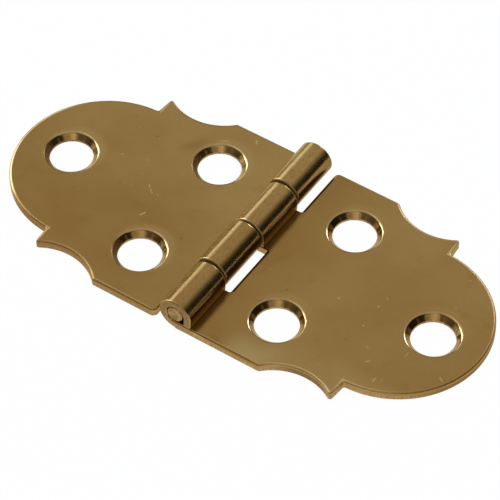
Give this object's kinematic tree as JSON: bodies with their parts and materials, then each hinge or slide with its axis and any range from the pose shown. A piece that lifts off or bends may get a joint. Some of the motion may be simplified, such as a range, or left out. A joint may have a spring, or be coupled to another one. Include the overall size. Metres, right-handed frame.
{
  "type": "decorative hinge",
  "caption": "Small brass butt hinge with round-ended scalloped leaves, countersunk screw holes and rolled knuckles on a plain pin.",
  "frame": {"origin": "on the back plane of the leaves, under the middle of the pin, with the hinge open flat", "axes": "+X across the leaves towards the right leaf's tip, +Y along the pin, +Z out of the show faces"},
  "size_m": [0.0572, 0.0266, 0.0039],
  "materials": {
    "leaf_brass": "bright pressed sheet with fine scuffs",
    "pin_brass": "plain drawn wire, cut ends"
  },
  "bodies": {
    "left_leaf": {"left_leaf": "leaf_brass", "hinge_pin": "pin_brass"},
    "right_leaf": {"right_leaf": "leaf_brass"}
  },
  "joints": [
    {"name": "leaf_fold", "type": "hinge", "parent": "left_leaf", "child": "right_leaf", "pos_m": [0, 0, 0.00195], "axis": [0, -1, 0], "range_deg": [-90, 180]}
  ]
}
